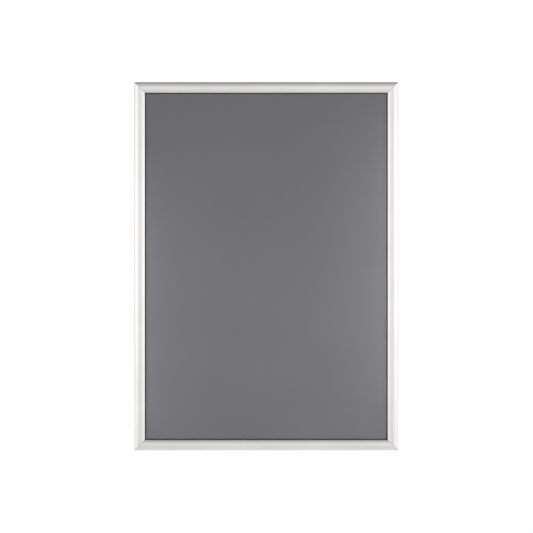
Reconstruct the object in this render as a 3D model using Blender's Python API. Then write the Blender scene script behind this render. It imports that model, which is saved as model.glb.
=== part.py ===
"""Click-open poster frame for one A1 sheet, in metres, +Z up, front towards -Y.

Four extruded base rails are joined at their mitres by corner keys and hold the backing panel in a
groove. Four cover rails hinge along the outer edges and press a clear cover sheet onto the poster.
Bowed leaf springs between base and cover snap each cover shut, or open once past dead centre.

A rail's section is drawn in two directions: u runs inwards from the frame's outer edge, and v runs
forwards from the wall. The world origin is on the wall side of the top rail, halfway along it.
"""

import math

import bmesh
import bpy
from mathutils import Matrix, Vector

MM = 0.001

# The sheet and the rails that frame it
SHEET_WIDTH = 594.0 * MM
SHEET_HEIGHT = 841.0 * MM
SHEET_MARGIN = 10.0 * MM  # what each cover rail hides of the sheet
PROFILE_WIDTH = 25.0 * MM
PROFILE_DEPTH = 12.0 * MM
MITRE_GAP = 0.3 * MM  # between the two saw cuts of a corner
SEAT_GAP = 0.3 * MM  # between pieces that rest on each other

# Cover rail: a crowned skin, a foot that presses on the sheet, and a rib with the hinge claw
CROWN_RADIUS = 26.0 * MM
SHOULDER_RADIUS = 1.6 * MM
SKIN = 1.1 * MM
FOOT_WIDTH = 2.0 * MM
FOOT_THICKNESS = 0.8 * MM
FOOT_ROUND = 0.4 * MM
RIB = 0.8 * MM
RIB_END_SETBACK = 8.0 * MM  # the rib is milled back here, so that neighbours open past each other
CLAW_WALL = 0.9 * MM

# Hinge: the claw hooks round a bead along the base rail's outer wall
WALL = 0.9 * MM
WALL_ROUND = 0.5 * MM
BEAD_RADIUS = 0.9 * MM
BEAD_REACH = 1.3 * MM  # from the wall to the bead's middle
BEAD_NECK = 0.8 * MM
HINGE_CLEARANCE = 0.25 * MM
OPEN_ANGLE = math.radians(85)
DEAD_CENTRE_ANGLE = math.radians(43)

# Notches that the springs' edges sit in, on the rib and on the middle rib
NOTCH_HALF_HEIGHT = 0.6 * MM
NOTCH_LIP = 0.5 * MM
NOTCH_DEPTH = 0.5 * MM

# Base rail
WEB = 1.1 * MM
MIDDLE_RIB = 1.2 * MM
SHEET_EDGE_GAP = 0.4 * MM
FLANGE = 0.8 * MM
FLANGE_REACH = 5.0 * MM
WEB_PAST_FLANGE = 1.4 * MM
KEY_LIP = 0.4 * MM
KEY_LIP_REACH = 0.8 * MM
FIXING_HOLE_RADIUS = 2.25 * MM
FIXING_HOLE_SHARE = 0.46  # of half the rail's length, from its middle

# Sheets
PANEL_THICKNESS = 1.5 * MM
COVER_SHEET_THICKNESS = 0.5 * MM

# Corner keys and their set screws
KEY_THICKNESS = 1.1 * MM
KEY_LEG = 40.0 * MM
KEY_CHAMFER = 1.5 * MM
KEY_SCREW_OFFSET = 1.3 * MM  # off the key's middle, clear of the swinging rib
SCREW_RADIUS = 1.5 * MM
SCREW_LENGTH = 2.0 * MM
SCREW_SOCKET_RADIUS = 0.85 * MM
SCREW_SOCKET_DEPTH = 1.1 * MM

# Leaf springs
SPRING_THICKNESS = 0.4 * MM
SPRING_LENGTH = 30.0 * MM
SPRING_HALF_BEND = math.radians(32)
SPRING_COUNTS = {"top": 3, "bottom": 3, "left": 4, "right": 4}

# How finely round stretches are divided
CROWN_STEPS = 24
SHOULDER_STEPS = 8
CLAW_STEPS = 14
BEAD_STEPS = 20
SPRING_STEPS = 12
SCREW_STEPS = 24
HOLE_STEPS = 24
HEXAGON = 6

CUT_OVERRUN = 1.0 * MM

# Sizes that follow from the ones above
FRAME_WIDTH = SHEET_WIDTH + 2 * (PROFILE_WIDTH - SHEET_MARGIN)
FRAME_HEIGHT = SHEET_HEIGHT + 2 * (PROFILE_WIDTH - SHEET_MARGIN)
CLAW_BORE = BEAD_RADIUS + HINGE_CLEARANCE
CLAW_RADIUS = CLAW_BORE + CLAW_WALL
CLAW_MIDDLE = CLAW_BORE + CLAW_WALL / 2

# The crown is an arc over the whole width, rounded off into both side faces
CROWN_U = PROFILE_WIDTH / 2
CROWN_V = PROFILE_DEPTH - CROWN_RADIUS
SHOULDER_V = CROWN_V + math.sqrt(
    (CROWN_RADIUS - SHOULDER_RADIUS) ** 2 - (CROWN_U - SHOULDER_RADIUS) ** 2
)

# Levels of what is stacked between wall and cover
PANEL_BACK = WEB + SEAT_GAP
FLANGE_BACK = PANEL_BACK + PANEL_THICKNESS + SEAT_GAP
FLANGE_FRONT = FLANGE_BACK + FLANGE
COVER_SHEET_BACK = FLANGE_FRONT + SEAT_GAP
FOOT_BACK = COVER_SHEET_BACK + COVER_SHEET_THICKNESS + SEAT_GAP
KEY_BACK = WEB + SEAT_GAP
KEY_FRONT = KEY_BACK + KEY_THICKNESS
KEY_LIP_BACK = KEY_FRONT + SEAT_GAP
KEY_LIP_FRONT = KEY_LIP_BACK + KEY_LIP

# The middle rib stops the sheets' edges and carries the springs' fixed seat
SHEET_EDGE = PROFILE_WIDTH - SHEET_MARGIN
MIDDLE_RIB_INNER = SHEET_EDGE - SHEET_EDGE_GAP
MIDDLE_RIB_OUTER = MIDDLE_RIB_INNER - MIDDLE_RIB
FLANGE_END = MIDDLE_RIB_INNER + FLANGE_REACH
WEB_END = FLANGE_END + WEB_PAST_FLANGE

# The key lies between the outer wall and the middle rib
KEY_OUTER = WALL + SEAT_GAP
KEY_INNER = MIDDLE_RIB_OUTER - SEAT_GAP

# The claw clears the wall when shut, and meets the bead's neck just past the open angle
HINGE_U = WALL + BEAD_REACH
HINGE_V = KEY_LIP_FRONT + HINGE_CLEARANCE + CLAW_RADIUS
CLAW_START = math.radians(180) + math.acos(
    (BEAD_REACH - HINGE_CLEARANCE - CLAW_WALL / 2) / CLAW_MIDDLE
)
CLAW_END = (
    math.radians(540)
    - OPEN_ANGLE
    - math.asin((BEAD_NECK / 2 + HINGE_CLEARANCE + CLAW_WALL / 2) / CLAW_MIDDLE)
)

# The cover's rib, and the two seats that a leaf spring is bowed between
RIB_OUTER = HINGE_U + CLAW_MIDDLE - RIB / 2
RIB_INNER = RIB_OUTER + RIB
RIB_TIP = KEY_LIP_BACK
MOVING_SEAT = Vector(
    (
        RIB_INNER + SEAT_GAP + SPRING_THICKNESS / 2,
        RIB_TIP + NOTCH_LIP + NOTCH_HALF_HEIGHT,
    )
)
MOVING_SEAT_ANGLE = math.atan2(MOVING_SEAT.y - HINGE_V, MOVING_SEAT.x - HINGE_U)
FIXED_SEAT_U = MIDDLE_RIB_OUTER - SEAT_GAP
FIXED_SEAT_RISE = (FIXED_SEAT_U - HINGE_U) * math.tan(MOVING_SEAT_ANGLE + DEAD_CENTRE_ANGLE)
FIXED_SEAT = Vector((FIXED_SEAT_U, HINGE_V + FIXED_SEAT_RISE))

# Each side's turn about +Y from the top side, and its half span from the frame's centre
SIDES = {
    "top": (math.radians(0), FRAME_HEIGHT / 2, FRAME_WIDTH / 2),
    "right": (math.radians(90), FRAME_WIDTH / 2, FRAME_HEIGHT / 2),
    "bottom": (math.radians(180), FRAME_HEIGHT / 2, FRAME_WIDTH / 2),
    "left": (math.radians(-90), FRAME_WIDTH / 2, FRAME_HEIGHT / 2),
}
CENTRE_Z = PROFILE_WIDTH / 2 - FRAME_HEIGHT / 2


def polar(centre, radius, angle):
    """The point of a section at this distance and direction from a centre."""
    return centre[0] + radius * math.cos(angle), centre[1] + radius * math.sin(angle)


def arc(centre, radius, start, end, steps):
    """Points of a round stretch of a section, both ends included."""
    angles = [start + (end - start) * step / steps for step in range(steps + 1)]
    return [polar(centre, radius, angle) for angle in angles]


def crown_front(u):
    """Height of the crown's outer surface above the wall."""
    return CROWN_V + math.sqrt(CROWN_RADIUS**2 - (u - CROWN_U) ** 2)


def cover_skin_outline():
    """The visible arch: two rounded shoulders, the crown between them, and the pressing foot."""
    crown = (CROWN_U, CROWN_V)
    outer_shoulder = (SHOULDER_RADIUS, SHOULDER_V)
    inner_shoulder = (PROFILE_WIDTH - SHOULDER_RADIUS, SHOULDER_V)
    inner_angle = math.atan2(SHOULDER_V - CROWN_V, PROFILE_WIDTH - SHOULDER_RADIUS - CROWN_U)
    half_turn = math.radians(180)
    outer_angle = half_turn - inner_angle
    hollow = SHOULDER_RADIUS - SKIN
    inside = PROFILE_WIDTH - SKIN
    foot_front = FOOT_BACK + FOOT_THICKNESS
    foot_round = (PROFILE_WIDTH - FOOT_ROUND, FOOT_BACK + FOOT_ROUND)
    outline = arc(outer_shoulder, SHOULDER_RADIUS, half_turn, outer_angle, SHOULDER_STEPS)
    outline += arc(crown, CROWN_RADIUS, outer_angle, inner_angle, CROWN_STEPS)[1:]
    outline += arc(inner_shoulder, SHOULDER_RADIUS, inner_angle, 0, SHOULDER_STEPS)[1:]
    outline += arc(foot_round, FOOT_ROUND, 0, -half_turn / 2, SHOULDER_STEPS // 2)
    outline += [(PROFILE_WIDTH - FOOT_WIDTH, FOOT_BACK), (PROFILE_WIDTH - FOOT_WIDTH, foot_front)]
    outline += [(inside, foot_front)]
    outline += arc(inner_shoulder, hollow, 0, inner_angle, SHOULDER_STEPS // 2)
    outline += arc(crown, CROWN_RADIUS - SKIN, inner_angle, outer_angle, CROWN_STEPS)[1:]
    outline += arc(outer_shoulder, hollow, outer_angle, half_turn, SHOULDER_STEPS // 2)[1:]
    return outline


def notch(face, seat, direction):
    """A groove for a spring's edge between two lips; direction is the side that it opens to."""
    lip = face + direction * NOTCH_DEPTH
    front = seat + NOTCH_HALF_HEIGHT
    back = seat - NOTCH_HALF_HEIGHT
    outline = [(face, front + NOTCH_LIP), (lip, front + NOTCH_LIP), (lip, front), (face, front)]
    outline += [(face, back), (lip, back), (lip, back - NOTCH_LIP), (face, back - NOTCH_LIP)]
    return outline


def cover_rib_outline():
    """The hidden rib, from inside the skin down to the notch at its tip."""
    root = crown_front(RIB_OUTER) - SKIN / 2
    outline = [(RIB_OUTER, root), (RIB_INNER, root)]
    outline += notch(RIB_INNER, MOVING_SEAT.y, 1)[:-1]
    outline += [(RIB_OUTER, RIB_TIP)]
    return outline


def claw_outline():
    """A ring sector round the hinge axis with rounded lips."""
    hinge = (HINGE_U, HINGE_V)
    half_turn = math.radians(180)

    def lip(angle, start):
        centre = polar(hinge, CLAW_MIDDLE, angle)
        return arc(centre, CLAW_WALL / 2, start, start + half_turn, SHOULDER_STEPS)[1:-1]

    outline = arc(hinge, CLAW_RADIUS, CLAW_START, CLAW_END, CLAW_STEPS)
    outline += lip(CLAW_END, CLAW_END)
    outline += arc(hinge, CLAW_BORE, CLAW_END, CLAW_START, CLAW_STEPS)
    outline += lip(CLAW_START, CLAW_START + half_turn)
    return outline


def base_outline():
    """Web, panel groove, middle rib with its notch, key lips, and outer wall with the hinge bead."""
    neck = BEAD_NECK / 2
    neck_angle = math.asin(neck / BEAD_RADIUS)
    half_turn = math.radians(180)
    wall_top = (WALL_ROUND, HINGE_V + neck - WALL_ROUND)
    outline = [(0, 0), (WEB_END, 0), (WEB_END, WEB)]
    outline += [(MIDDLE_RIB_INNER, WEB), (MIDDLE_RIB_INNER, FLANGE_BACK)]
    outline += [(FLANGE_END, FLANGE_BACK), (FLANGE_END, FLANGE_FRONT)]
    outline += [(MIDDLE_RIB_INNER, FLANGE_FRONT)]
    outline += [(MIDDLE_RIB_INNER, FIXED_SEAT.y + NOTCH_HALF_HEIGHT + NOTCH_LIP)]
    outline += notch(MIDDLE_RIB_OUTER, FIXED_SEAT.y, -1)[1:]
    outline += [(MIDDLE_RIB_OUTER, KEY_LIP_FRONT), (MIDDLE_RIB_OUTER - KEY_LIP_REACH, KEY_LIP_FRONT)]
    outline += [(MIDDLE_RIB_OUTER - KEY_LIP_REACH, KEY_LIP_BACK), (MIDDLE_RIB_OUTER, KEY_LIP_BACK)]
    outline += [(MIDDLE_RIB_OUTER, WEB), (WALL, WEB), (WALL, KEY_LIP_BACK)]
    outline += [(WALL + KEY_LIP_REACH, KEY_LIP_BACK), (WALL + KEY_LIP_REACH, KEY_LIP_FRONT)]
    outline += [(WALL, KEY_LIP_FRONT), (WALL, HINGE_V - neck)]
    bead_start = neck_angle - half_turn
    outline += arc((HINGE_U, HINGE_V), BEAD_RADIUS, bead_start, -bead_start, BEAD_STEPS)
    outline += arc(wall_top, WALL_ROUND, half_turn / 2, half_turn, SHOULDER_STEPS // 2)
    return outline


def spring_outline():
    """A bowed leaf between its two seats, bulging towards the front."""
    chord = FIXED_SEAT - MOVING_SEAT
    along = chord.normalized()
    bulge = Vector((-along.y, along.x))
    radius = chord.length / 2 / math.sin(SPRING_HALF_BEND)
    centre = (FIXED_SEAT + MOVING_SEAT) / 2 - bulge * radius * math.cos(SPRING_HALF_BEND)
    towards_bulge = math.atan2(bulge.y, bulge.x)
    start = towards_bulge + SPRING_HALF_BEND
    end = towards_bulge - SPRING_HALF_BEND
    half = SPRING_THICKNESS / 2
    front = arc(centre, radius + half, start, end, SPRING_STEPS)
    back = arc(centre, radius - half, end, start, SPRING_STEPS)
    return front + back


def material(name, colour, roughness, metallic, alpha=1.0):
    made = bpy.data.materials.new(name)
    made.use_nodes = True
    shader = made.node_tree.nodes["Principled BSDF"]
    shader.inputs["Base Color"].default_value = (*colour, 1.0)
    shader.inputs["Roughness"].default_value = roughness
    shader.inputs["Metallic"].default_value = metallic
    shader.inputs["Alpha"].default_value = alpha
    made.diffuse_color = (*colour, alpha)
    return made


def place(name, mesh, finish, location=(0, 0, 0), parent=None):
    """One named object with its own finish, shaded smooth between sharp edges."""
    mesh.shade_smooth()
    mesh.set_sharp_from_angle(angle=math.radians(30))
    mesh.materials.clear()
    mesh.materials.append(finish)
    made = bpy.data.objects.new(name, mesh)
    bpy.context.scene.collection.objects.link(made)
    made.parent = parent
    made.location = location
    return made


def mesh_from(shape, name):
    """Turns a finished bmesh into a mesh with its faces pointing out."""
    bmesh.ops.recalc_face_normals(shape, faces=shape.faces)
    mesh = bpy.data.meshes.new(name)
    shape.to_mesh(mesh)
    shape.free()
    return mesh


def extruded(outline, half_length, name, mitred=False, origin=(0, 0)):
    """Extrudes a section along the rail. A mitred end slides each point back by its own u."""
    shape = bmesh.new()
    ring = [shape.verts.new((-half_length, -(v - origin[1]), -(u - origin[0]))) for u, v in outline]
    section = shape.faces.new(ring)
    grown = bmesh.ops.extrude_face_region(shape, geom=[section])
    far = [item for item in grown["geom"] if isinstance(item, bmesh.types.BMVert)]
    bmesh.ops.translate(shape, verts=far, vec=(2 * half_length, 0, 0))
    if mitred:
        half_gap = MITRE_GAP / 2 * math.sqrt(2)
        for vert in shape.verts:
            inset = origin[0] - vert.co.z + half_gap
            vert.co.x -= math.copysign(inset, vert.co.x)
    return mesh_from(shape, name)


def cylinder(radius, length, steps, name):
    """A round bar along local Y, centred on the origin."""
    shape = bmesh.new()
    turned = Matrix.Rotation(math.radians(90), 4, "X")
    bmesh.ops.create_cone(
        shape, cap_ends=True, segments=steps, radius1=radius, radius2=radius, depth=length, matrix=turned
    )
    return mesh_from(shape, name)


def combined(mesh, other, operation):
    """Joins other to a mesh, or cuts it away, with an exact Boolean, and returns the result."""
    body = bpy.data.objects.new("body", mesh)
    tool = bpy.data.objects.new("tool", other)
    for item in (body, tool):
        bpy.context.scene.collection.objects.link(item)
    step = body.modifiers.new("combine", "BOOLEAN")
    step.operation = operation
    step.object = tool
    bpy.context.view_layer.update()
    result = bpy.data.meshes.new_from_object(body.evaluated_get(bpy.context.evaluated_depsgraph_get()))
    result.name = mesh.name
    for item in (body, tool):
        bpy.data.objects.remove(item)
    return result


def gathered(copies, name):
    """One mesh that holds several separate solids: (mesh, matrix) pairs."""
    shape = bmesh.new()
    for mesh, matrix in copies:
        before = len(shape.verts)
        shape.from_mesh(mesh)
        shape.verts.ensure_lookup_table()
        bmesh.ops.transform(shape, matrix=matrix, verts=shape.verts[before:])
    return mesh_from(shape, name)


def base_rail(side, half_length):
    """The mitred base extrusion, drilled for two wall screws."""
    hole_u = (KEY_OUTER + KEY_INNER) / 2
    drill = cylinder(FIXING_HOLE_RADIUS, 2 * (WEB + CUT_OVERRUN), HOLE_STEPS, "drill")
    holes = [
        (drill, Matrix.Translation((end * FIXING_HOLE_SHARE * half_length, 0, -hole_u)))
        for end in (-1, 1)
    ]
    rail = extruded(base_outline(), half_length, f"base_rail_{side}", mitred=True)
    return combined(rail, gathered(holes, "drills"), "DIFFERENCE")


def cover_rail(side, half_length):
    """The mitred skin with its square-ended rib and claw, drawn about the hinge axis."""
    hinge = (HINGE_U, HINGE_V)
    shortened = half_length - RIB_END_SETBACK
    skin = extruded(cover_skin_outline(), half_length, f"cover_rail_{side}", mitred=True, origin=hinge)
    rib = extruded(cover_rib_outline(), shortened, "rib", origin=hinge)
    claw = extruded(claw_outline(), shortened, "claw", origin=hinge)
    return combined(skin, combined(rib, claw, "UNION"), "UNION")


def key_screw_place():
    """Place of a leg's set screw: distance from the frame's corner along the rail, and u."""
    along = (KEY_INNER + KEY_OUTER + KEY_LEG) / 2
    across = (KEY_OUTER + KEY_INNER) / 2 + KEY_SCREW_OFFSET
    return along, across


def corner_key():
    """A flat right-angled plate, drawn for the top left corner from that corner's outer point."""
    end = KEY_OUTER + KEY_LEG
    near, far = KEY_OUTER, KEY_INNER
    outline = [(near, near), (end - KEY_CHAMFER, near), (end, near + KEY_CHAMFER)]
    outline += [(end, far - KEY_CHAMFER), (end - KEY_CHAMFER, far), (far, far)]
    outline += [(far, end - KEY_CHAMFER), (far - KEY_CHAMFER, end), (near + KEY_CHAMFER, end)]
    outline += [(near, end - KEY_CHAMFER)]
    shape = bmesh.new()
    plate = shape.faces.new([shape.verts.new((a, -KEY_BACK, -b)) for a, b in outline])
    grown = bmesh.ops.extrude_face_region(shape, geom=[plate])
    front = [item for item in grown["geom"] if isinstance(item, bmesh.types.BMVert)]
    bmesh.ops.translate(shape, verts=front, vec=(0, -KEY_THICKNESS, 0))
    drill = cylinder(SCREW_RADIUS + SEAT_GAP, KEY_THICKNESS + 2 * CUT_OVERRUN, HOLE_STEPS, "drill")
    depth = -(KEY_BACK + KEY_FRONT) / 2
    along, across = key_screw_place()
    holes = [
        (drill, Matrix.Translation((along, depth, -across))),
        (drill, Matrix.Translation((across, depth, -along))),
    ]
    return combined(mesh_from(shape, "corner_key"), gathered(holes, "drills"), "DIFFERENCE")


def set_screw():
    """A short headless screw along Y with a hexagon socket in its front end."""
    back = -(WEB + SEAT_GAP)
    body = cylinder(SCREW_RADIUS, SCREW_LENGTH, SCREW_STEPS, "screw")
    body.transform(Matrix.Translation((0, back - SCREW_LENGTH / 2, 0)))
    hexagon = cylinder(SCREW_SOCKET_RADIUS, 2 * SCREW_SOCKET_DEPTH, HEXAGON, "hexagon")
    hexagon.transform(Matrix.Translation((0, back - SCREW_LENGTH, 0)))
    return combined(body, hexagon, "DIFFERENCE")


def sheet(thickness, back, edge, name):
    """A rectangular sheet whose edges lie at u = edge on all four sides."""
    shape = bmesh.new()
    bmesh.ops.create_cube(shape, size=1)
    size = (FRAME_WIDTH - 2 * edge, thickness, FRAME_HEIGHT - 2 * edge)
    bmesh.ops.scale(shape, verts=shape.verts, vec=size)
    bmesh.ops.translate(shape, verts=shape.verts, vec=(0, -(back + thickness / 2), CENTRE_Z))
    return mesh_from(shape, name)


def spring_places(side, half_length):
    """Middles of a rail's springs along it, evenly spread."""
    count = SPRING_COUNTS[side]
    pitch = 2 * half_length / count
    return [(index - (count - 1) / 2) * pitch for index in range(count)]


def corner_matrices():
    """Turns a piece drawn for the top left corner into each of the four corners."""
    corners = {}
    for name, across, up in (
        ("top_left", 1, 1),
        ("top_right", -1, 1),
        ("bottom_right", -1, -1),
        ("bottom_left", 1, -1),
    ):
        at = Vector((-across * FRAME_WIDTH / 2, 0, CENTRE_Z + up * FRAME_HEIGHT / 2))
        corners[name] = Matrix.Translation(at) @ Matrix.Diagonal((across, 1, up, 1))
    return corners


def build():
    for item in list(bpy.data.objects):
        bpy.data.objects.remove(item)

    anodised = material("anodised_aluminium", (0.72, 0.72, 0.71), 0.35, 1.0)
    mill = material("mill_aluminium", (0.62, 0.62, 0.62), 0.4, 1.0)
    styrene = material("grey_styrene", (0.17, 0.17, 0.18), 0.6, 0.0)
    clear = material("clear_sheet", (0.95, 0.96, 0.97), 0.25, 0.0, alpha=0.2)
    zinc = material("zinc_plated_steel", (0.6, 0.61, 0.63), 0.4, 1.0)
    spring_steel = material("spring_steel", (0.5, 0.5, 0.52), 0.3, 1.0)
    black_oxide = material("black_steel", (0.06, 0.06, 0.065), 0.45, 0.8)

    for side, (turn, distance, half_length) in SIDES.items():
        frame_side = bpy.data.objects.new(f"side_{side}", None)
        bpy.context.scene.collection.objects.link(frame_side)
        frame_side.location = (0, 0, CENTRE_Z)
        frame_side.rotation_euler = (0, turn, 0)
        edge = (0, 0, distance)
        axis = (0, -HINGE_V, distance - HINGE_U)
        place(f"base_rail_{side}", base_rail(side, half_length), mill, edge, frame_side)
        place(f"cover_rail_{side}", cover_rail(side, half_length), anodised, axis, frame_side)
        for number, along in enumerate(spring_places(side, half_length), start=1):
            leaf = extruded(spring_outline(), SPRING_LENGTH / 2, "spring")
            place(f"spring_{side}_{number}", leaf, spring_steel, (along, 0, distance), frame_side)

    along, across = key_screw_place()
    screw = set_screw()
    for corner, matrix in corner_matrices().items():
        key = corner_key()
        key.transform(matrix)
        if matrix.determinant() < 0:
            key.flip_normals()
        place(f"corner_key_{corner}", key, zinc)
        for number, (a, b) in enumerate(((along, across), (across, along)), start=1):
            place(f"set_screw_{corner}_{number}", screw, black_oxide, matrix @ Vector((a, 0, -b)))

    panel_edge = MIDDLE_RIB_INNER + SEAT_GAP
    place("backing_panel", sheet(PANEL_THICKNESS, PANEL_BACK, panel_edge, "panel"), styrene)
    cover_sheet = sheet(COVER_SHEET_THICKNESS, COVER_SHEET_BACK, SHEET_EDGE, "cover_sheet")
    place("clear_cover_sheet", cover_sheet, clear)


build()
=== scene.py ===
import math

import bmesh
import bpy
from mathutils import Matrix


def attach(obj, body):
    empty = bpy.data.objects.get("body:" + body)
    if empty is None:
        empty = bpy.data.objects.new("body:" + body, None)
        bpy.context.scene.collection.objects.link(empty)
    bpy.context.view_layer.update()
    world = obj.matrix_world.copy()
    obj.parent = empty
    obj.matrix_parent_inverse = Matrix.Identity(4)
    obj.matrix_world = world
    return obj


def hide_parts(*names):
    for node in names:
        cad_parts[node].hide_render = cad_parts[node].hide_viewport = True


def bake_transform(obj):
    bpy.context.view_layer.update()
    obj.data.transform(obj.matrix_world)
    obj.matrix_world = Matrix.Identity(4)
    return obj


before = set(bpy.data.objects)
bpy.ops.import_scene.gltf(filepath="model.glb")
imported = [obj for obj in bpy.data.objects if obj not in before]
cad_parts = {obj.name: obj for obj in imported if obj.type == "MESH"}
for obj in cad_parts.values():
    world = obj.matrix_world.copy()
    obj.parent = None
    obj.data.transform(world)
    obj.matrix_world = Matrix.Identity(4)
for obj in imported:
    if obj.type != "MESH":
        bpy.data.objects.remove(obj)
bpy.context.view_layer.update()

mm = 0.001

# the whole frame; the pieces' own dictionaries are in millimetres, and camera and studio are in metres
frameSize = {
    "width": 624 * mm,
    "height": 871 * mm,
    "top": 12.5 * mm,  # z of the top bar's outer edge
}
halfWidth = frameSize["width"] / 2
halfHeight = frameSize["height"] / 2
spare = halfHeight - halfWidth  # what half an upright bar has over half a level one
middle = frameSize["top"] - halfHeight  # z of the frame's centre

# how far each side is turned about Y from the top one
sideTurns = {"Top": 0, "Right": 90, "Bottom": 180, "Left": -90}
uprightSides = ("Left", "Right")

samePlace = 0.02 * mm  # points nearer to each other than this count as in one place

# how many straight stretches draw each round one
steps = {
    "shoulder": 8,
    "crown": 48,
    "lipEdge": 5,
    "hollow": 4,
    "claw": 24,
    "clawLip": 8,
    "bead": 28,
    "wallEdge": 4,
    "spring": 20,
}


# small helpers for working as by hand

def clearSelection():
    if bpy.context.mode != "OBJECT":
        bpy.ops.object.mode_set(mode="OBJECT")
    bpy.ops.object.select_all(action="DESELECT")


def pick(piece):
    # nothing but this piece selected, in object mode
    clearSelection()
    piece.select_set(True)
    bpy.context.view_layer.objects.active = piece


def edit(piece, kind="VERT"):
    pick(piece)
    bpy.ops.object.mode_set(mode="EDIT")
    bpy.ops.mesh.select_mode(type=kind)


def choose(piece, kind, test):
    # selects the vertices, edges or faces that pass the test
    edit(piece, kind)
    bpy.ops.mesh.select_all(action="DESELECT")
    shape = bmesh.from_edit_mesh(piece.data)
    for part in {"VERT": shape.verts, "EDGE": shape.edges, "FACE": shape.faces}[kind]:
        part.select = test(part)
    shape.select_flush(kind != "VERT")
    bmesh.update_edit_mesh(piece.data)


def named(name):
    # names the piece that was just made, and its mesh
    piece = bpy.context.object
    piece.name = piece.data.name = name
    return piece


def copied(piece, name):
    pick(piece)
    bpy.ops.object.duplicate(linked=False)
    return named(name)


def turned(piece, degrees):
    # turns a piece drawn at the top side round the frame's centre to another side
    edit(piece)
    bpy.ops.mesh.select_all(action="SELECT")
    # with no window the operator turns the other way, hence the minus
    bpy.ops.transform.rotate(value=-math.radians(degrees), orient_axis="Y", center_override=(0, 0, middle))


def moved(piece, x=0.0, z=0.0):
    edit(piece)
    bpy.ops.mesh.select_all(action="SELECT")
    bpy.ops.transform.translate(value=(x, 0, z))


def pull(x=0.0, y=0.0, z=0.0):
    # extrudes what is selected
    bpy.ops.mesh.extrude_region_move(TRANSFORM_OT_translate={"value": (x, y, z)})


def faceOut():
    # turns all faces of the piece in edit mode outwards
    bpy.ops.mesh.select_all(action="SELECT")
    bpy.ops.mesh.normals_make_consistent(inside=False)


def cut(piece, tool, operation="DIFFERENCE"):
    # joins another piece on or cuts it away, and uses it up
    pick(piece)
    bpy.ops.object.modifier_add(type="BOOLEAN")
    step = piece.modifiers[-1]
    step.operation = operation
    step.object = tool
    step.solver = "EXACT"
    bpy.ops.object.modifier_apply(modifier=step.name)
    bpy.data.objects.remove(tool)


def breakEdges(piece, width, degrees):
    # rounds off all edges that turn by more than this
    pick(piece)
    bpy.ops.object.modifier_add(type="BEVEL")
    step = piece.modifiers[-1]
    step.width = width * mm
    step.segments = 2
    step.limit_method = "ANGLE"
    step.angle_limit = math.radians(degrees)
    bpy.ops.object.modifier_apply(modifier=step.name)


def rod(name, radius, length, place, sides=32):
    # a round or many-sided bar that points away from the wall, with its middle at a place
    clearSelection()
    bpy.ops.mesh.primitive_cylinder_add(vertices=sides, radius=radius * mm, depth=length * mm,
                                        location=place, rotation=(math.radians(90), 0, 0))
    piece = named(name)
    bpy.ops.object.transform_apply()
    return piece


def dress(piece, *finishes):
    piece.data.materials.clear()
    for finish in finishes:
        piece.data.materials.append(finish)


def dressChosen(piece, number):
    # gives the chosen faces another of the piece's finishes
    piece.active_material_index = number
    bpy.ops.object.material_slot_assign()


def smooth(piece, degrees=30):
    pick(piece)
    bpy.ops.object.shade_smooth_by_angle(angle=math.radians(degrees))


# a bar's section is drawn with a pen at the top side: u runs inwards from the frame's outer edge and
# v forwards from the wall, both in mm

def pointAt(u, v=0.0, x=0.0):
    # a section point in the frame's own metres
    return (x, -v * mm, frameSize["top"] - u * mm)


def around(centre, radius, degrees):
    # the section point at this distance and direction from another
    turn = math.radians(degrees)
    return (centre[0] + radius * math.cos(turn), centre[1] + radius * math.sin(turn))


def startSection(name, pen, x):
    # a small plane is drawn together to one point, which extrude and spin carry on from
    clearSelection()
    bpy.ops.mesh.primitive_plane_add(size=mm, location=pointAt(*pen, x))
    piece = named(name)
    bpy.ops.object.transform_apply()
    edit(piece)
    bpy.ops.mesh.select_all(action="SELECT")
    bpy.ops.mesh.merge(type="CENTER")
    return piece


def lines(pen, *corners):
    for u, v in corners:
        step = (0, (pen[1] - v) * mm, (pen[0] - u) * mm)
        bpy.ops.mesh.extrude_vertices_move(TRANSFORM_OT_translate={"value": step})
        pen[:] = u, v


def arc(pen, centre, degrees, count):
    # counter-clockwise as seen with u to the right and v up
    bpy.ops.mesh.spin(steps=count, angle=math.radians(degrees), center=pointAt(*centre), axis=(1, 0, 0))
    start = math.degrees(math.atan2(pen[1] - centre[1], pen[0] - centre[0]))
    pen[:] = around(centre, math.dist(pen, centre), start + degrees)


def closeSection(length):
    # fills the drawn outline and pulls it out along the bar
    bpy.ops.mesh.select_all(action="SELECT")
    bpy.ops.mesh.remove_doubles(threshold=0.002 * mm)
    bpy.ops.mesh.edge_face_add()
    pull(x=length)
    faceOut()


mitreCut = {
    "gap": 0.3,  # sawn off each end, so that two cuts meet with a hairline of 0.42 mm
    "loop": 0.8,  # how far behind the cut the loop lies
}


def mitre(piece, edgeBreak):
    # saws both ends at 45 degrees; the saw cut is bare metal, and its edge is lightly broken
    edit(piece)
    for end in (-1, 1):
        tip = halfWidth - mitreCut["gap"] * mm
        bpy.ops.mesh.select_all(action="SELECT")
        bpy.ops.mesh.bisect(plane_co=pointAt(0, 0, end * tip), plane_no=(end, 0, -1),
                            use_fill=True, clear_outer=True)
        dressChosen(piece, 1)
        bpy.ops.mesh.bevel(offset=edgeBreak * mm, segments=2, affect="EDGES", clamp_overlap=True)
        # a loop just behind the cut, so that the broken edge doesn't tilt the shading of the whole bar
        tip -= mitreCut["loop"] * mm
        bpy.ops.mesh.select_all(action="SELECT")
        bpy.ops.mesh.bisect(plane_co=pointAt(0, 0, end * tip), plane_no=(end, 0, -1))


# finishes

def sRGB(code):
    # a hex colour as linear light
    parts = [int(code[first:first + 2], 16) / 255 for first in (1, 3, 5)]
    light = [part / 12.92 if part <= 0.04045 else ((part + 0.055) / 1.055) ** 2.4 for part in parts]
    return (*light, 1)


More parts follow.
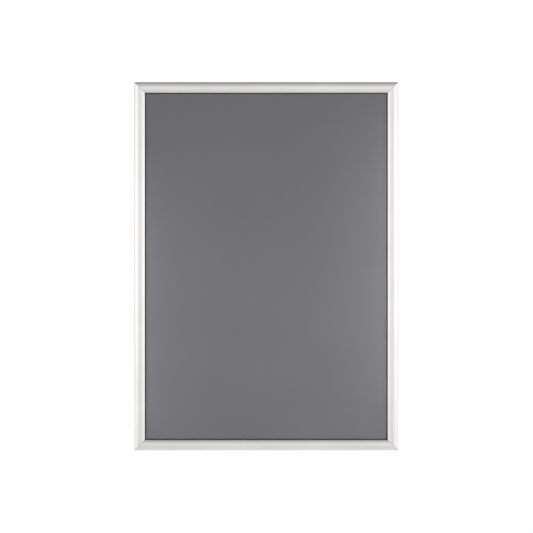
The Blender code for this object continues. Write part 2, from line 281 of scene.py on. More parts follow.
def add(tree, kind, settings=None, links=None):
    node = tree.nodes.new("ShaderNode" + kind)
    for key, value in (settings or {}).items():
        if key == "stops":  # a colour ramp's places and hex colours
            band = node.color_ramp.elements
            for number, (place, colour) in enumerate(value):
                stop = band[number] if number < len(band) else band.new(place)
                stop.position = place
                stop.color = sRGB(colour)
        elif isinstance(key, int) or key in node.inputs:
            node.inputs[key].default_value = value
        else:
            setattr(node, key, value)
    for key, source in (links or {}).items():
        tree.links.new(source, node.inputs[key])
    return node


def newFinish(name):
    made = bpy.data.materials.new(name)
    made.use_nodes = True
    made.node_tree.nodes.clear()
    return made, made.node_tree


def grain(tree, scale, kind="TexNoise", settings=None):
    # a pattern on object coordinates; scale is the pattern's real size along x, y, z in mm
    place = add(tree, "TexCoord").outputs["Object"]
    size = tuple(1 / (s * mm) for s in scale)
    fitted = add(tree, "Mapping", {"Scale": size}, {"Vector": place})
    return add(tree, kind, {"Scale": 1.0, **(settings or {})}, {"Vector": fitted.outputs[0]})


def extrudedMetal(name, along, light, dark, roughness, streak, lineDepth):
    # aluminium from a die: fine lines run the length of the bar
    # the real lines are 0.1 to 0.3 mm apart; they are drawn 0.7 mm, with 5 mm bands that still show from afar
    made, tree = newFinish(name)
    fine = {"X": (260, 0.7, 0.7), "Z": (0.7, 0.7, 260)}[along]
    wide = {"X": (420, 5, 5), "Z": (5, 5, 420)}[along]
    fineLines = grain(tree, fine, settings={"Detail": 3.0, "Roughness": 0.6}).outputs[0]
    bands = grain(tree, wide, settings={"Detail": 2.0}).outputs[0]
    cloud = grain(tree, (90, 90, 90), settings={"Detail": 3.0}).outputs[0]
    tone = add(tree, "Math", {"operation": "MULTIPLY_ADD", 1: 0.45}, {0: bands, 2: cloud})
    colour = add(tree, "ValToRGB", {"stops": ((0.42, dark), (0.98, light))}, {0: tone.outputs[0]})
    spread = {"From Min": 0.3, "From Max": 0.7, "To Min": roughness - streak, "To Max": roughness + streak}
    rough = add(tree, "MapRange", spread, {"Value": bands})
    bump = add(tree, "Bump", {"Strength": 0.5, "Distance": lineDepth * mm}, {"Height": fineLines})
    skin = add(tree, "BsdfPrincipled", {"Metallic": 1.0},
               {"Base Color": colour.outputs[0], "Roughness": rough.outputs[0], "Normal": bump.outputs[0]})
    add(tree, "OutputMaterial", {}, {"Surface": skin.outputs[0]})
    return made


# silver anodised aluminium, etched before the bath: an even satin that smears reflections softly
anodised = {"light": "#EDECE9", "dark": "#E4E3E0", "roughness": 0.33, "streak": 0.03, "lineDepth": 0.01}
anodisedAcross = extrudedMetal("anodisedAluminiumAcross", "X", **anodised)
anodisedUpright = extrudedMetal("anodisedAluminiumUpright", "Z", **anodised)
# plain mill-finish extrusion for the rails on the wall: a little darker and streakier, lines easy to see
millFinish = {"light": "#D2D3D4", "dark": "#C2C4C6", "roughness": 0.38, "streak": 0.07, "lineDepth": 0.03}
millAcross = extrudedMetal("millAluminiumAcross", "X", **millFinish)
millUpright = extrudedMetal("millAluminiumUpright", "Z", **millFinish)


def sawnMetal():
    # bare aluminium from the mitre saw, gone dull: greyer than the bar
    # the blade's lines are 0.2 to 0.4 mm apart and are drawn 0.8 mm
    made, tree = newFinish("sawnAluminium")
    marks = grain(tree, (0.8, 40, 0.8), "TexWave",
                  {"wave_type": "BANDS", "bands_direction": "X", "Distortion": 1.5}).outputs["Fac"]
    colour = add(tree, "ValToRGB", {"stops": ((0.0, "#8E9092"), (1.0, "#B4B6B8"))}, {0: marks})
    bump = add(tree, "Bump", {"Strength": 0.6, "Distance": 0.03 * mm}, {"Height": marks})
    skin = add(tree, "BsdfPrincipled", {"Metallic": 1.0, "Roughness": 0.45},
               {"Base Color": colour.outputs[0], "Normal": bump.outputs[0]})
    add(tree, "OutputMaterial", {}, {"Surface": skin.outputs[0]})
    return made


def platedSteel():
    # stamped steel, zinc plated and passivated: cool grey, cloudy, with a faint blue and straw cast
    made, tree = newFinish("zincPlatedSteel")
    cloud = grain(tree, (9, 9, 9), settings={"Detail": 4.0}).outputs[0]
    pits = grain(tree, (0.9, 0.9, 0.9), settings={"Detail": 2.0}).outputs[0]
    tints = ((0.3, "#A9B0B8"), (0.55, "#BFC2C4"), (0.75, "#C6C3B6"))
    colour = add(tree, "ValToRGB", {"stops": tints}, {0: cloud})
    rough = add(tree, "MapRange", {"To Min": 0.28, "To Max": 0.52}, {"Value": cloud})
    bump = add(tree, "Bump", {"Strength": 0.35, "Distance": 0.03 * mm}, {"Height": pits})
    skin = add(tree, "BsdfPrincipled", {"Metallic": 1.0},
               {"Base Color": colour.outputs[0], "Roughness": rough.outputs[0], "Normal": bump.outputs[0]})
    add(tree, "OutputMaterial", {}, {"Surface": skin.outputs[0]})
    return made


def oxidisedSteel():
    # alloy steel set screws, black oxide and a film of oil: near black, with a soft shine
    made, tree = newFinish("blackOxideSteel")
    cloud = grain(tree, (1.2, 1.2, 1.2), settings={"Detail": 3.0}).outputs[0]
    colour = add(tree, "ValToRGB", {"stops": ((0.3, "#26262A"), (0.7, "#3B3A3C"))}, {0: cloud})
    rough = add(tree, "MapRange", {"To Min": 0.3, "To Max": 0.5}, {"Value": cloud})
    skin = add(tree, "BsdfPrincipled", {"Metallic": 0.85},
               {"Base Color": colour.outputs[0], "Roughness": rough.outputs[0]})
    add(tree, "OutputMaterial", {}, {"Surface": skin.outputs[0]})
    return made


def temperedSteel():
    # rolled and tempered spring strip: grey with a blue to straw heat tint and rolling lines
    made, tree = newFinish("temperedSpringSteel")
    cloud = grain(tree, (14, 14, 14), settings={"Detail": 2.0}).outputs[0]
    rolled = grain(tree, (0.5, 12, 12), settings={"Detail": 2.0}).outputs[0]
    tints = ((0.3, "#6E7787"), (0.5, "#8D9098"), (0.72, "#A3978A"))
    colour = add(tree, "ValToRGB", {"stops": tints}, {0: cloud})
    bump = add(tree, "Bump", {"Strength": 0.4, "Distance": 0.02 * mm}, {"Height": rolled})
    skin = add(tree, "BsdfPrincipled", {"Metallic": 1.0, "Roughness": 0.27},
               {"Base Color": colour.outputs[0], "Normal": bump.outputs[0]})
    add(tree, "OutputMaterial", {}, {"Surface": skin.outputs[0]})
    return made


def extrudedStyrene():
    # grey polystyrene sheet, extruded with a matt roller: even mid grey, faint vertical flow and fine grain
    # the roller's grain is 0.2 mm, drawn 1.2 mm so that it still shows close by
    made, tree = newFinish("greyPolystyrene")
    flow = grain(tree, (35, 35, 900), settings={"Detail": 2.0}).outputs[0]
    cloud = grain(tree, (210, 210, 120), settings={"Detail": 2.0}).outputs[0]
    pebble = grain(tree, (1.2, 1.2, 1.2), settings={"Detail": 2.0}).outputs[0]
    tone = add(tree, "Math", {"operation": "MULTIPLY_ADD", 1: 0.5}, {0: flow, 2: cloud})
    # painted shade: the tone is darkened, and turned more neutral, towards the frame's top
    place = add(tree, "SeparateXYZ", {}, {0: add(tree, "TexCoord").outputs["Object"]})
    paintedTopShade = add(tree, "MapRange", {"From Min": middle - 0.02, "From Max": middle + 0.4, "To Max": -0.75},
                {"Value": place.outputs["Z"]})
    tone = add(tree, "Math", {"operation": "ADD"}, {0: tone.outputs[0], 1: paintedTopShade.outputs[0]})
    colour = add(tree, "ValToRGB", {"stops": ((0.0, "#3E3D3F"), (1.0, "#4D4B52"))}, {0: tone.outputs[0]})
    bump = add(tree, "Bump", {"Strength": 0.1, "Distance": 0.03 * mm}, {"Height": pebble})
    skin = add(tree, "BsdfPrincipled", {"Roughness": 0.55, "IOR": 1.59},
               {"Base Color": colour.outputs[0], "Normal": bump.outputs[0]})
    add(tree, "OutputMaterial", {}, {"Surface": skin.outputs[0]})
    return made


def antiGlareSheet():
    # clear PVC with a matt front: what lies behind shows through a light haze, and lamps smear to a soft glow
    # the matt side's grain is 0.1 mm, drawn 1.5 mm; the long waves are the sheet's own slackness
    made, tree = newFinish("clearAntiGlareSheet")
    pebble = grain(tree, (1.5, 1.5, 1.5), settings={"Detail": 2.0}).outputs[0]
    waves = grain(tree, (330, 330, 130), settings={"Detail": 1.0}).outputs[0]
    slack = add(tree, "Bump", {"Strength": 1.0, "Distance": 1.2 * mm}, {"Height": waves})
    bump = add(tree, "Bump", {"Strength": 0.05, "Distance": 0.02 * mm},
               {"Height": pebble, "Normal": slack.outputs[0]})
    clear = add(tree, "BsdfTransparent", {"Color": sRGB("#FBFBFC")})
    haze = add(tree, "BsdfDiffuse", {"Color": sRGB("#E8E9EC")}, {"Normal": bump.outputs[0]})
    hazy = add(tree, "MixShader", {0: 0.03}, {1: clear.outputs[0], 2: haze.outputs[0]})
    shine = add(tree, "BsdfGlossy", {"Color": sRGB("#FFFFFF"), "Roughness": 0.36},
                {"Normal": bump.outputs[0]})
    # only the front of each face mirrors; light leaving through the back of one goes straight on
    facing = add(tree, "Fresnel", {"IOR": 1.54}, {"Normal": slack.outputs[0]})
    inside = add(tree, "NewGeometry").outputs["Backfacing"]
    front = add(tree, "Math", {"operation": "SUBTRACT", 0: 1.0}, {1: inside})
    amount = add(tree, "Math", {"operation": "MULTIPLY"}, {0: facing.outputs[0], 1: front.outputs[0]})
    both = add(tree, "MixShader", {}, {0: amount.outputs[0], 1: hazy.outputs[0], 2: shine.outputs[0]})
    add(tree, "OutputMaterial", {}, {"Surface": both.outputs[0]})
    return made


def paintedShadowStripFinish():
    # painted shade: a near-black strip run onto the foot, standing in for the shadow line between the bar and
    # the sheet; dull, with a faint bloom
    made, tree = newFinish("blackFlexiblePVC")
    bloom = grain(tree, (4, 4, 4), settings={"Detail": 3.0}).outputs[0]
    colour = add(tree, "ValToRGB", {"stops": ((0.35, "#121213"), (0.75, "#1F1F20"))}, {0: bloom})
    rough = add(tree, "MapRange", {"To Min": 0.5, "To Max": 0.65}, {"Value": bloom})
    skin = add(tree, "BsdfPrincipled", {"IOR": 1.53},
               {"Base Color": colour.outputs[0], "Roughness": rough.outputs[0]})
    add(tree, "OutputMaterial", {}, {"Surface": skin.outputs[0]})
    return made


sawn = sawnMetal()
paintedShadeLip = paintedShadowStripFinish()
plated = platedSteel()
oxidised = oxidisedSteel()
tempered = temperedSteel()
styrene = extrudedStyrene()
clearFilm = antiGlareSheet()
print("finishes ready")


# camera: square on from about 3 m with a long lens, as in the photograph

cameraSetup = {"fromWall": 3.0078, "right": 0.0005, "down": 0.0004, "lens": 85.69}
place = (cameraSetup["right"], -cameraSetup["fromWall"], middle - cameraSetup["down"])
bpy.ops.object.camera_add(location=place, rotation=(math.radians(90), 0, 0))
cameraBody = bpy.context.object
cameraBody.name = "studioCamera"
cameraBody.data.lens = cameraSetup["lens"]
cameraBody.data.sensor_width = 36
bpy.context.scene.camera = cameraBody


# what cover bars and base rails share: the springs' seats, one on each bar's rib, and the hinge

springSeats = {"moving": (4.7, 3.9), "fixed": (13.1, 7.497)}
notch = {"half": 0.6, "lip": 0.5, "depth": 0.5}
hinge = {
    "middle": (2.2, 5.5),
    "wall": 0.9,  # of the base rail, which carries the bead
    "halfNeck": 0.4,
    "bead": 0.9,  # radius
    "clearance": 0.25,
    "claw": 0.9,  # thickness
    "opens": 85,  # degrees
}


def notched(face, level, side):
    # a notch's outline on the face of a rib, from back to front; side is 1 where the face looks inwards
    edge = face + side * notch["depth"]
    back, front = level - notch["half"], level + notch["half"]
    foot, head = back - notch["lip"], front + notch["lip"]
    return [(face, foot), (edge, foot), (edge, back), (face, back),
            (face, front), (edge, front), (edge, head), (face, head)]


# cover bars: a crowned skin whose foot presses on the sheet, a near-black lip on the foot that is painted
# shade for the shadow line along the sheet, and behind it the rib with the claw

coverBar = {
    "width": 25,
    "depth": 12,
    "crown": 26,  # radius
    "skin": 1.1,
    "shoulder": 1.0,  # radius outside
    "shoulderLevel": 8.198,  # of both outside shoulders' middles
    "shoulderTurn": 62.61,  # degrees from a side face to the crown
    "hollowShoulder": 1.6,  # the same three inside the skin
    "hollowLevel": 7.8314,
    "hollowTurn": 63.46,
    "footEnd": 23,
    "footBack": 5.1,
    "footFront": 5.9,
    # lipTop to lipRoot draw a near-black lip past the bar's inner side: painted shade for the shadow line
    # along the sheet
    "lipTop": 6.4,
    "lipNose": (26.85, 5.25),  # where the lip's front runs into its round edge
    "lipEdge": (26.7, 5.09),  # middle of that round edge
    "lipTurn": 136.8,  # degrees round it to the lip's back
    "lipBack": 4.87,
    "lipRoot": 24.4,
    "ribOuter": 3.4,
    "ribInner": 4.2,
    "ribTop": 9.87,  # inside the skin
    "ribEnd": 8,  # how far rib and claw stop short of each end
    "edgeBreak": 0.09,
}
ribLength = frameSize["width"] - 2 * coverBar["ribEnd"] * mm


def drawSkin():
    width = coverBar["width"]
    hollow = width - coverBar["skin"]
    crown = (width / 2, coverBar["depth"] - coverBar["crown"])
    outer, high, turn = coverBar["shoulder"], coverBar["shoulderLevel"], coverBar["shoulderTurn"]
    inner, low, hollowTurn = coverBar["hollowShoulder"], coverBar["hollowLevel"], coverBar["hollowTurn"]
    pen = [0, low]
    skin = startSection("coverBarTop", pen, -halfWidth)
    lines(pen, (0, high))
    arc(pen, (outer, high), -turn, steps["shoulder"])
    arc(pen, crown, 2 * turn - 180, steps["crown"])
    arc(pen, (width - outer, high), -turn, steps["shoulder"])
    # down the inner wall to the dark lip, which lies just clear of the sheet and is painted shade for the
    # shadow line along it
    lines(pen, (width, coverBar["lipTop"]), coverBar["lipNose"])
    arc(pen, coverBar["lipEdge"], -coverBar["lipTurn"], steps["lipEdge"])
    root, back, front = coverBar["lipRoot"], coverBar["footBack"], coverBar["footFront"]
    lines(pen, (root, coverBar["lipBack"]), (root, back), (coverBar["footEnd"], back),
          (coverBar["footEnd"], front), (hollow, front), (hollow, low))
    arc(pen, (width - inner, low), hollowTurn, steps["hollow"])
    arc(pen, crown, 180 - 2 * hollowTurn, steps["crown"])
    arc(pen, (inner, low), hollowTurn, steps["hollow"])
    lines(pen, (0, low))
    closeSection(frameSize["width"])
    dress(skin, anodisedAcross, sawn, paintedShadeLip)
    # the dark lip's faces, painted shade for the shadow line along the sheet, are its root and all that lie
    # past the bar's inner side
    innerSide, rootFace = pointAt(width)[2], pointAt(root)[2]
    choose(skin, "FACE", lambda face: face.calc_center_median().z < innerSide - samePlace
           or abs(face.calc_center_median().z - rootFace) < samePlace)
    dressChosen(skin, 2)
    mitre(skin, coverBar["edgeBreak"])
    return skin


def drawRib():
    outer, inner, top = coverBar["ribOuter"], coverBar["ribInner"], coverBar["ribTop"]
    seat = notched(inner, springSeats["moving"][1], 1)
    pen = [outer, top]
    rib = startSection("rib", pen, -ribLength / 2)
    lines(pen, (outer, seat[0][1]), *seat[1:], (inner, top), (outer, top))
    closeSection(ribLength)
    dress(rib, anodisedAcross, sawn)
    return rib


def drawClaw():
    # a ring round the bead with full-round lips, which clears the wall when shut and the neck when open
    bore = hinge["bead"] + hinge["clearance"]
    back = bore + hinge["claw"]
    ring = (bore + back) / 2
    room = hinge["clearance"] + hinge["claw"] / 2
    start = 180 + math.degrees(math.acos((hinge["middle"][0] - hinge["wall"] - room) / ring))
    end = 540 - hinge["opens"] - math.degrees(math.asin((hinge["halfNeck"] + room) / ring))
    pen = list(around(hinge["middle"], back, start))
    claw = startSection("claw", pen, -ribLength / 2)
    arc(pen, hinge["middle"], end - start, steps["claw"])
    arc(pen, around(hinge["middle"], ring, end), 180, steps["clawLip"])
    arc(pen, hinge["middle"], start - end, steps["claw"])
    arc(pen, around(hinge["middle"], ring, start), 180, steps["clawLip"])
    closeSection(ribLength)
    dress(claw, anodisedAcross, sawn)
    return claw


def drawCoverBar():
    skin = drawSkin()
    rib = drawRib()
    cut(rib, drawClaw(), "UNION")
    cut(skin, rib, "UNION")
    return skin


def lengthened(piece):
    # an upright bar is a level one with its two ends pulled apart
    for end in (-1, 1):
        choose(piece, "VERT", lambda vert: vert.co.x * end > 0)
        bpy.ops.transform.translate(value=(end * spare, 0, 0))


def setAround(first, name, replaced, across, upright):
    # copies a finished top piece to the four sides and lets each stand for its CAD node
    made = {}
    for side, degrees in sideTurns.items():
        piece = copied(first, name + side) if side != "Top" else first
        if side in uprightSides:
            lengthened(piece)
            moved(piece, z=-spare)
        turned(piece, degrees)
        dress(piece, *(upright if side in uprightSides else across))
        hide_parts(replaced + side.lower())
        made[side] = piece
    return made


# each cover bar's third finish is the lip's painted shade
coverBars = setAround(drawCoverBar(), "coverBar", "cover_rail_",
                      (anodisedAcross, sawn, paintedShadeLip), (anodisedUpright, sawn, paintedShadeLip))
for side, piece in coverBars.items():
    smooth(piece)
    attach(piece, side.lower() + "_cover")
print("cover bars done")


# base rails: web on the wall, groove for the panel, seat for the springs, bead for the claw

baseRail = {
    "web": 1.1,
    "webEnd": 21,
    "ribOuter": 13.4,
    "ribInner": 14.6,
    "flangeBack": 3.2,
    "flangeFront": 4.0,
    "flangeEnd": 19.6,
    "keyLip": 0.8,  # how far each of the two lips in front of the key reaches
    "keyLipBack": 2.8,
    "keyLipFront": 3.2,
    "wallRound": 0.5,
    "holeRadius": 2.25,
    "holePlace": 7.15,  # inwards from the outer edge
    "holeShare": 0.46,  # of half the rail's length, from its middle
    "drillLength": 6,
    "edgeBreak": 0.08,
}


def drawBaseRail():
    web, webEnd, wall = baseRail["web"], baseRail["webEnd"], hinge["wall"]
    outer, inner = baseRail["ribOuter"], baseRail["ribInner"]
    pen = [0, 0]
    rail = startSection("baseRailTop", pen, -halfWidth)
    lines(pen, (webEnd, 0), (webEnd, web), (inner, web))
    # round the flange in front of the panel
    back, front, end = baseRail["flangeBack"], baseRail["flangeFront"], baseRail["flangeEnd"]
    lines(pen, (inner, back), (end, back), (end, front), (inner, front))
    # over the rib, with the springs' fixed seat on its outer face
    seat = notched(outer, springSeats["fixed"][1], -1)
    lines(pen, (inner, seat[-1][1]), *reversed(seat[:-1]))
    # round the key's channel, which has a lip on each side
    back, front, reach = baseRail["keyLipBack"], baseRail["keyLipFront"], baseRail["keyLip"]
    lines(pen, (outer, front), (outer - reach, front), (outer - reach, back), (outer, back), (outer, web))
    lines(pen, (wall, web), (wall, back), (wall + reach, back), (wall + reach, front), (wall, front))
    # the bead on its neck, and the wall's round front edge
    level, halfNeck, edge = hinge["middle"][1], hinge["halfNeck"], baseRail["wallRound"]
    turn = math.degrees(math.asin(halfNeck / hinge["bead"]))
    lines(pen, (wall, level - halfNeck), around(hinge["middle"], hinge["bead"], 180 + turn))
    arc(pen, hinge["middle"], 360 - 2 * turn, steps["bead"])
    lines(pen, (edge, level + halfNeck))
    arc(pen, (edge, level + halfNeck - edge), 90, steps["wallEdge"])
    lines(pen, (0, 0))
    closeSection(frameSize["width"])
    dress(rail, millAcross, sawn)
    mitre(rail, baseRail["edgeBreak"])
    return rail


baseRails = setAround(drawBaseRail(), "baseRail", "base_rail_", (millAcross, sawn), (millUpright, sawn))
for side, piece in baseRails.items():
    # two wall-fixing holes, drilled through the web
    half, reach = (halfHeight, halfWidth) if side in uprightSides else (halfWidth, halfHeight)
    for end in (-1, 1):
        place = (end * baseRail["holeShare"] * half, 0, middle + reach - baseRail["holePlace"] * mm)
        drill = rod("drill", baseRail["holeRadius"], baseRail["drillLength"], place)
        turned(drill, sideTurns[side])
        dress(drill, sawn)
        cut(piece, drill)
    smooth(piece)
    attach(piece, "frame")
print("base rails done")


# corner keys: right-angled plates in the rails' channels, each held by two headless screws

cornerKey = {
    "near": 1.2,  # both legs' outer and inner sides, from the frame's outer edges
    "far": 13.1,
    "legEnd": 41.2,
    "back": 1.4,
    "thickness": 1.1,
    "chamfer": 1.5,
    "edgeRound": 0.15,
    "holeRadius": 1.8,
    "drillLength": 4,
    "screws": ((27.15, 8.45), (8.45, 27.15)),  # from the corner's two outer edges
}
cornerTurns = {"top_left": 0, "top_right": 90, "bottom_right": 180, "bottom_left": -90}


def cornerPoint(along, across, v=0.0):
    # a place measured from the frame's top left corner, in mm
    return pointAt(across, v, -halfWidth + along * mm)


def drawKey():
    near, far, end = cornerKey["near"], cornerKey["far"], cornerKey["legEnd"]
    centre = (near + far) / 2
    clearSelection()
    bpy.ops.mesh.primitive_plane_add(size=(far - near) * mm, rotation=(math.radians(90), 0, 0),
                                     location=cornerPoint(centre, centre, cornerKey["back"]))
    key = named("cornerKey_top_left")
    bpy.ops.object.transform_apply()
    # pull a leg out along each rail
    innerX, _, innerZ = cornerPoint(far, far)
    endX, _, endZ = cornerPoint(end, end)
    choose(key, "EDGE", lambda edge: all(abs(vert.co.x - innerX) < samePlace for vert in edge.verts))
    pull(x=endX - innerX)
    choose(key, "EDGE", lambda edge: all(abs(vert.co.z - innerZ) < samePlace for vert in edge.verts)
           and all(vert.co.x < innerX + samePlace for vert in edge.verts))
    pull(z=endZ - innerZ)
    choose(key, "VERT", lambda vert: vert.co.x > endX - samePlace or vert.co.z < endZ + samePlace)
    bpy.ops.mesh.bevel(offset=cornerKey["chamfer"] * mm, segments=3, affect="VERTICES")
    bpy.ops.mesh.select_all(action="SELECT")
    pull(y=-cornerKey["thickness"] * mm)
    faceOut()
    dress(key, plated)
    for along, across in cornerKey["screws"]:
        place = cornerPoint(along, across, cornerKey["back"] + cornerKey["thickness"] / 2)
        drill = rod("drill", cornerKey["holeRadius"], cornerKey["drillLength"], place)
        dress(drill, plated)
        cut(key, drill)
    # the press leaves the edges slightly rounded
    breakEdges(key, cornerKey["edgeRound"], degrees=40)
    smooth(key)
    return key


setScrew = {
    "radius": 1.5,
    "back": 1.4,
    "length": 2.0,
    "threads": 4,
    "threadRoot": 0.84,  # shares of the radius: between the threads, at the point and at the rim
    "point": 0.72,
    "rim": 0.86,
    "socket": 0.85,
    "socketDepth": 1.1,
}


def drawIn(piece, place, share):
    # brings the ring of points at this level nearer to the axis
    choose(piece, "VERT", lambda vert: abs(vert.co.y - place[1]) < samePlace)
    bpy.ops.transform.resize(value=(share, 1, share), center_override=place)


def drawScrew(name, along, across):
    back, length = setScrew["back"], setScrew["length"]
    screw = rod(name, setScrew["radius"], length, cornerPoint(along, across, back + length / 2))
    # the thread: rings sawn round the shank, every second one drawn in
    rings = 2 * setScrew["threads"] + 1
    levels = [cornerPoint(along, across, back + length * number / rings) for number in range(1, rings)]
    edit(screw)
    for place in levels:
        bpy.ops.mesh.select_all(action="SELECT")
        bpy.ops.mesh.bisect(plane_co=place, plane_no=(0, 1, 0))
    for place in levels[::2]:
        drawIn(screw, place, setScrew["threadRoot"])
    # a point cone behind and a chamfer in front
    drawIn(screw, cornerPoint(along, across, back), setScrew["point"])
    drawIn(screw, cornerPoint(along, across, back + length), setScrew["rim"])
    dress(screw, oxidised)
    hexagon = rod("socket", setScrew["socket"], 2 * setScrew["socketDepth"],
                  cornerPoint(along, across, back + length), sides=6)
    dress(hexagon, oxidised)
    cut(screw, hexagon)
    smooth(screw, degrees=35)
    return screw


def cornered(piece, degrees):
    # turns a piece of the top left corner into another corner
    turned(piece, degrees)
    if abs(degrees) == 90:  # the frame is taller than wide, so a quarter turn lands off the corner
        side = degrees / 90
        moved(piece, x=-side * spare, z=side * spare)


firstKey = drawKey()
firstScrews = [drawScrew(f"setScrew_top_left_{number}", *place)
               for number, place in enumerate(cornerKey["screws"], start=1)]
for corner, degrees in cornerTurns.items():
    key, screws = firstKey, firstScrews
    if corner != "top_left":
        key = copied(firstKey, "cornerKey_" + corner)
        screws = [copied(screw, screw.name.replace("top_left", corner)) for screw in firstScrews]
        for piece in (key, *screws):
            cornered(piece, degrees)
    clearSelection()
    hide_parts("corner_key_" + corner)
    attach(key, "frame")
    for number, screw in enumerate(screws, start=1):
        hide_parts(f"set_screw_{corner}_{number}")
        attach(screw, "frame")
print("corner keys and set screws done")


# leaf springs: bowed strips between the base rail's seat and the cover's rib

leafSpring = {
    "halfBend": 32,  # degrees
    "length": 30,
    "thickness": 0.4,
    "corner": 1.2,
    "edgeBreak": 0.08,
    "onLevelBar": 3,
    "onUprightBar": 4,
}


def drawSpring():
    moving, fixed = springSeats["moving"], springSeats["fixed"]
    bend = leafSpring["halfBend"]
    slope = math.degrees(math.atan2(fixed[1] - moving[1], fixed[0] - moving[0]))
    radius = math.dist(moving, fixed) / 2 / math.sin(math.radians(bend))
    pen = list(moving)
    leaf = startSection("leafSpring", pen, -leafSpring["length"] / 2 * mm)
    arc(pen, around(moving, radius, slope + bend - 90), -2 * bend, steps["spring"])
    bpy.ops.mesh.select_all(action="SELECT")
    pull(x=leafSpring["length"] * mm)
    # round the blank's four corners
    seats = [pointAt(*moving), pointAt(*fixed)]
    choose(leaf, "VERT", lambda vert: any(math.dist(vert.co[1:], seat[1:]) < samePlace for seat in seats))
    bpy.ops.mesh.bevel(offset=leafSpring["corner"] * mm, segments=4, affect="VERTICES", clamp_overlap=False)
    bpy.ops.mesh.select_all(action="SELECT")
    bpy.ops.mesh.remove_doubles(threshold=0.003 * mm)
    bpy.ops.mesh.normals_make_consistent(inside=False)
    # give it its thickness, half to each side
    pick(leaf)
    bpy.ops.object.modifier_add(type="SOLIDIFY")
    wall = leaf.modifiers[-1]
    wall.thickness = leafSpring["thickness"] * mm
    wall.offset = 0
    wall.use_even_offset = True
    bpy.ops.object.modifier_apply(modifier=wall.name)
    breakEdges(leaf, leafSpring["edgeBreak"], degrees=50)
    edit(leaf)
    faceOut()
    dress(leaf, tempered)
    smooth(leaf, degrees=40)
    return leaf


firstSpring = drawSpring()
for side, degrees in sideTurns.items():
    upright = side in uprightSides
    count = leafSpring["onUprightBar" if upright else "onLevelBar"]
    length = frameSize["height" if upright else "width"]
    for number in range(1, count + 1):
        along = length * ((number - 0.5) / count - 0.5)
        leaf = copied(firstSpring, f"leafSpring{side}{number}")
        moved(leaf, x=along, z=-spare if upright else 0)
        turned(leaf, degrees)
        clearSelection()
        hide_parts(f"spring_{side.lower()}_{number}")
        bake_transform(leaf)
bpy.data.objects.remove(firstSpring)
print("springs done")


# backing panel and clear sheet

sheets = {
    "backingPanel": {"edge": 14.9, "back": 1.4, "thickness": 1.5, "corner": 1.0, "edgeBreak": 0.2,
                     "replaces": "backing_panel", "slot": "grey_styrene", "finish": styrene},
    "clearSheet": {"edge": 15.0, "back": 4.3, "thickness": 0.5, "corner": 2.0, "edgeBreak": 0.08,
                   "replaces": "clear_cover_sheet", "slot": "clear_plastic", "finish": clearFilm},
}
for name, sheet in sheets.items():
    place = (0, -sheet["back"] * mm, middle)
    clearSelection()
    bpy.ops.mesh.primitive_plane_add(size=1, location=place, rotation=(math.radians(90), 0, 0))
    piece = named(name)
    bpy.ops.object.transform_apply()
    edit(piece)
    bpy.ops.mesh.select_all(action="SELECT")
    size = (2 * (halfWidth - sheet["edge"] * mm), 1, 2 * (halfHeight - sheet["edge"] * mm))
    bpy.ops.transform.resize(value=size, center_override=place)
    # the guillotined corners are slightly rounded, and the edges rubbed
    bpy.ops.mesh.bevel(offset=sheet["corner"] * mm, segments=4, affect="VERTICES")
    bpy.ops.mesh.select_all(action="SELECT")
    pull(y=-sheet["thickness"] * mm)
    faceOut()
    breakEdges(piece, sheet["edgeBreak"], degrees=30)
    # a narrow ring inside the rubbed edge, within the corner's round, keeps the large faces' shading flat
    for side in (-1, 1):
        choose(piece, "FACE", lambda face: face.normal.y * side > 0.99)
        bpy.ops.mesh.inset(thickness=sheet["corner"] / 2 * mm)
    dress(piece, sheet["finish"])
    smooth(piece)
    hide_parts(sheet["replaces"])
    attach(piece, "frame")
print("panel and sheet done")


# studio: pale floor, white behind, two large softboxes in front, two small ones and two strips nearby

studio = {
    "floor": 14,
    "floorLevel": middle - halfHeight - 0.6,  # the frame hangs 0.6 m above it
    # place, turn, width, height and power: two large boxes that the bars mirror, then two near ones and
    # two strips along the sides, which light the panel and aren't mirrored
    "lamps": (
        ((-1.9, -1.7, middle - 0.1), -48, 1.6, 1.8, 3.2),
        ((1.7, -1.7, middle - 0.1), 45, 1.6, 1.8, 3.0),
        ((-0.8, -0.66, middle - 0.28), -50, 0.4, 0.9, 3.0),
        ((0.74, -0.64, middle - 0.18), 49, 0.4, 0.9, 4.4),
        ((-0.32, -0.12, middle - 0.06), 0, 0.03, 0.56, 0.17),
        ((0.325, -0.12, middle + 0.03), 0, 0.03, 0.62, 0.32),
    ),
    "mirrored": 2,  # how many of them, from the first, show in glossy surfaces
    # the room's greys from the floor's level up to overhead
    "upward": ((0.0, "#FAFAFA"), (0.12, "#FFFFFF"), (0.22, "#F6F6F6"), (0.3, "#E9E9E9"), (0.46, "#D8D8D8"),
               (0.625, "#C4C4C4"), (0.75, "#A6A6A6"), (0.89, "#909090"), (1.0, "#505050")),
    # and from the far left to the far right
    "sideways": ((0.0, "#808080"), (0.06, "#C0C0C0"), (0.12, "#F8F8F8"), (0.18, "#FFFFFF"),
                 (0.25, "#FFFFFF"), (0.325, "#FCFCFC"), (0.4, "#EAEAEA"), (0.475, "#D6D6D6"),
                 (0.55, "#EAEAEA"), (0.625, "#FCFCFC"), (0.7, "#FFFFFF"), (0.82, "#FCFCFC"),
                 (0.92, "#ECECEC"), (1.0, "#D8D8D8")),
    "wallStrength": 1.33,
}


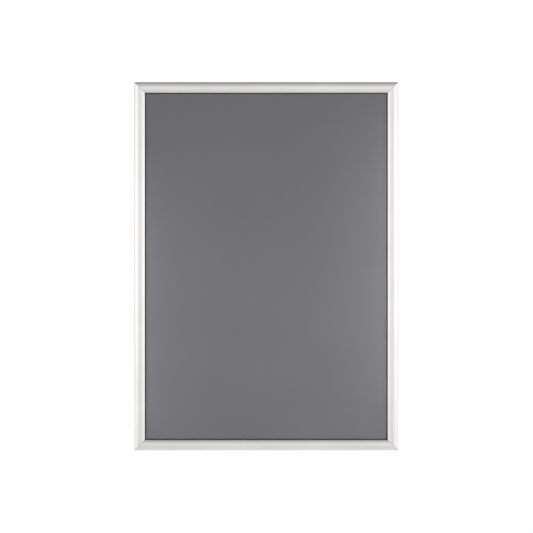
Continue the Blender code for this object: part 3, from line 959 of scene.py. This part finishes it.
def palePaint():
    # matt white paint; what camera, metal and glass see of it is lifted to the white of the backdrop
    made, tree = newFinish("paleFloorPaint")
    paint = add(tree, "BsdfDiffuse", {"Color": sRGB("#F0F0EF")})
    rays = add(tree, "LightPath").outputs
    seen = add(tree, "Math", {"operation": "MAXIMUM"}, {0: rays["Is Camera Ray"], 1: rays["Is Glossy Ray"]})
    seen = add(tree, "Math", {"operation": "MAXIMUM"}, {0: seen.outputs[0], 1: rays["Is Transmission Ray"]})
    # the lift is strongest behind the frame and weakest just in front of it, where the frame shades the floor
    place = add(tree, "SeparateXYZ", {}, {0: add(tree, "TexCoord").outputs["Object"]})
    rising = {"interpolation_type": "SMOOTHSTEP", "From Min": -0.7, "From Max": 0.8, "To Max": 0.47}
    falling = {"interpolation_type": "SMOOTHSTEP", "From Min": -1.3, "From Max": -0.2,
               "To Min": 0.22, "To Max": 0.07}
    behind = add(tree, "MapRange", rising, {"Value": place.outputs["Y"]})
    before = add(tree, "MapRange", falling, {"Value": place.outputs["Y"]})
    level = add(tree, "Math", {"operation": "ADD"}, {0: behind.outputs[0], 1: before.outputs[0]})
    level = add(tree, "Math", {"operation": "MULTIPLY"}, {0: seen.outputs[0], 1: level.outputs[0]})
    lift = add(tree, "Emission", {"Color": sRGB("#FFFFFF")}, {"Strength": level.outputs[0]})
    both = add(tree, "AddShader", {}, {0: paint.outputs[0], 1: lift.outputs[0]})
    add(tree, "OutputMaterial", {}, {"Surface": both.outputs[0]})
    return made


def greyRoom():
    # white behind the frame, soft grey on the camera's side, darker overhead
    room = bpy.data.worlds.new("studioRoom")
    room.use_nodes = True
    tree = room.node_tree
    tree.nodes.clear()
    toward = add(tree, "SeparateXYZ", {}, {0: add(tree, "TexCoord").outputs["Generated"]})
    height = add(tree, "MapRange", {"From Min": -0.2, "From Max": 1.0}, {"Value": toward.outputs["Z"]})
    upward = add(tree, "ValToRGB", {"stops": studio["upward"]}, {0: height.outputs[0]})
    across = add(tree, "MapRange", {"From Min": -1.0, "From Max": 1.0}, {"Value": toward.outputs["X"]})
    sideways = add(tree, "ValToRGB", {"stops": studio["sideways"]}, {0: across.outputs[0]})
    both = add(tree, "MixRGB", {"blend_type": "MULTIPLY", "Fac": 1.0},
               {"Color1": upward.outputs[0], "Color2": sideways.outputs[0]})
    walls = add(tree, "Background", {"Strength": studio["wallStrength"]}, {"Color": both.outputs[0]})
    backdrop = add(tree, "Background", {"Color": sRGB("#FFFFFF"), "Strength": 1.0})
    behind = add(tree, "MapRange", {"From Min": 0.1, "From Max": 0.7}, {"Value": toward.outputs["Y"]})
    whole = add(tree, "MixShader", {}, {0: behind.outputs[0], 1: walls.outputs[0], 2: backdrop.outputs[0]})
    add(tree, "OutputWorld", {}, {"Surface": whole.outputs[0]})
    return room


clearSelection()
bpy.ops.mesh.primitive_plane_add(size=studio["floor"], location=(0, 0, studio["floorLevel"]))
floor = named("studioFloor")
bpy.ops.object.transform_apply()
dress(floor, palePaint())

for number, (place, turn, width, height, power) in enumerate(studio["lamps"], start=1):
    bpy.ops.object.light_add(type="AREA", location=place, rotation=(math.radians(90), 0, math.radians(turn)))
    lamp = bpy.context.object
    lamp.name = f"softbox{number}"
    lamp.data.shape = "RECTANGLE"
    lamp.data.size = width
    lamp.data.size_y = height
    lamp.data.energy = power
    lamp.visible_camera = False
    lamp.visible_glossy = number <= studio["mirrored"]

bpy.context.scene.world = greyRoom()
bpy.context.scene.view_settings.view_transform = "Standard"
print("studio done")

clearSelection()
